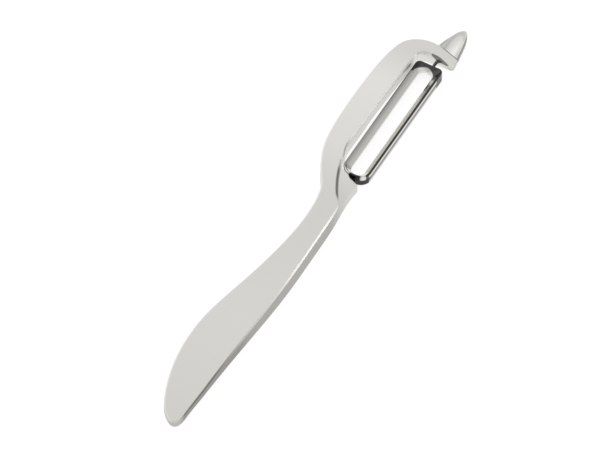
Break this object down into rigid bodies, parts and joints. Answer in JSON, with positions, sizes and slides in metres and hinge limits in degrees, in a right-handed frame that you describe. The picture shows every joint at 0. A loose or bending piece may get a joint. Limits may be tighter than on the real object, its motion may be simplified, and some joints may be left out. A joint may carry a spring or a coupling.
{
  "type": "vegetable peeler",
  "caption": "Swivel vegetable peeler with a flat curved cast metal handle, an arch beside a slotted pressed blade that turns on two pins, and a pointed eye remover at its tip.",
  "frame": {"origin": "middle of the footprint, on the surface that the peeler's flat back lies on", "axes": "+X along the peeler towards the eye remover, +Y towards the arch, +Z out of the front face"},
  "size_m": [0.1937, 0.0244, 0.0074],
  "materials": {
    "cast_metal": "satin tumbled casting",
    "blade_steel": "polished stainless steel",
    "pin_steel": "bright steel"
  },
  "bodies": {
    "frame": {"casting": "cast_metal"},
    "swivel_blade": {"blade": "blade_steel", "upper_pivot_pin": "pin_steel", "lower_pivot_pin": "pin_steel"}
  },
  "joints": [
    {"name": "blade_swivel", "type": "hinge", "parent": "frame", "child": "swivel_blade", "pos_m": [0.05122, -0.00435, 0.0019], "axis": [1, 0, 0], "range_deg": [-20, 20]}
  ]
}
